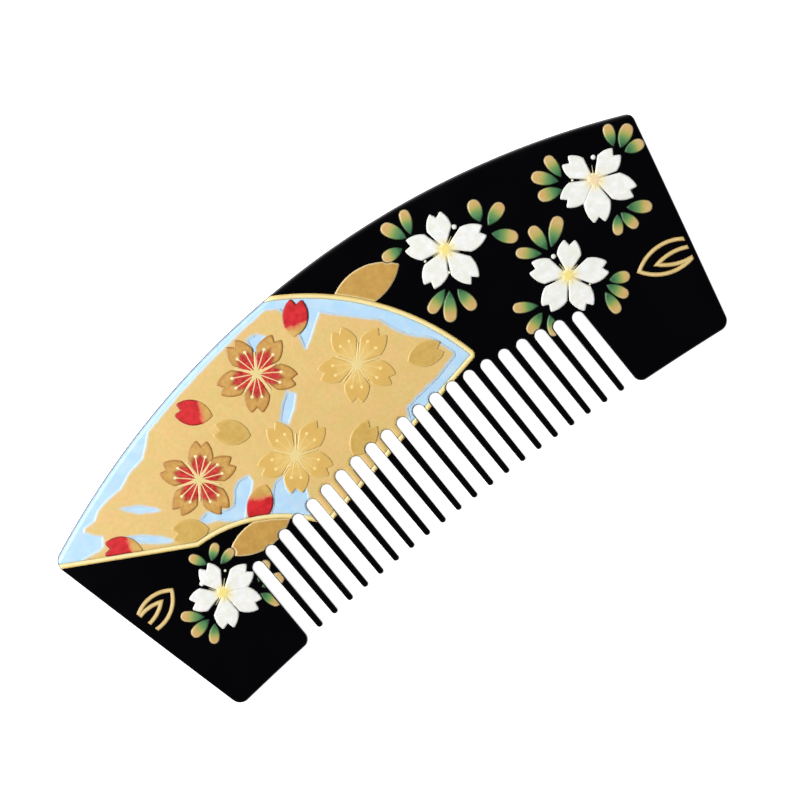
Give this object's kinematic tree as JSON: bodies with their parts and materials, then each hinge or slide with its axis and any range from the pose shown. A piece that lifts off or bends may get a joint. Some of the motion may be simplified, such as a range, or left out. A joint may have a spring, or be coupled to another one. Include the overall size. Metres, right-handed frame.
{
  "type": "kushi comb",
  "caption": "Arched black lacquered hair comb with fine teeth between two end guards and raised cherry blossom and fan decoration.",
  "frame": {"origin": "on the flat rear face that the comb lies on, below the middle of its overall box", "axes": "+X along the comb, to the right seen from the front; +Y in the plane of the comb, towards the arched back and away from the teeth; +Z out of the decorated front"},
  "size_m": [0.1051, 0.0442, 0.005],
  "materials": {
    "black_lacquer": "deep polished black lacquer on resin",
    "blue_paint": "satin pale blue paint",
    "cream_line": "raised cream and gold line, satin",
    "gold_ground": "fine pale gold powder under clear lacquer, satin",
    "gold_paint": "raised deeper gold paint, satin",
    "red_paint": "raised red paint that runs into gold, satin",
    "white_paint": "raised white paint with faint grey veins, satin",
    "green_paint": "raised green paint that runs into gold at the tip, satin"
  },
  "bodies": {
    "root": {"comb": "black_lacquer", "fan_ground": "blue_paint", "fan_rim": "cream_line", "fan_cloud": "gold_ground", "gold_leaf_1": "gold_paint", "gold_leaf_2": "gold_paint", "white_blossom_1": "white_paint", "white_blossom_2": "white_paint", "white_blossom_3": "white_paint", "white_blossom_4": "white_paint", "red_blossom_1": "red_paint", "red_blossom_2": "red_paint", "gold_blossom_1": "gold_paint", "gold_blossom_2": "gold_paint", "red_bud_1": "red_paint", "red_bud_2": "red_paint", "red_bud_3": "red_paint", "red_bud_4": "red_paint", "gold_bud_1": "gold_paint", "gold_bud_2": "gold_paint", "gold_bud_3": "gold_paint", "gold_bud_4": "gold_paint", "sprig_1": "green_paint", "sprig_2": "green_paint", "sprig_3": "green_paint", "sprig_4": "green_paint", "sprig_5": "green_paint", "sprig_6": "green_paint", "sprig_7": "green_paint", "sprig_8": "green_paint", "sprig_9": "green_paint", "sprig_10": "green_paint", "sprig_11": "green_paint", "sprig_12": "green_paint", "line_petal_1": "cream_line", "line_petal_2": "cream_line"}
  },
  "joints": []
}
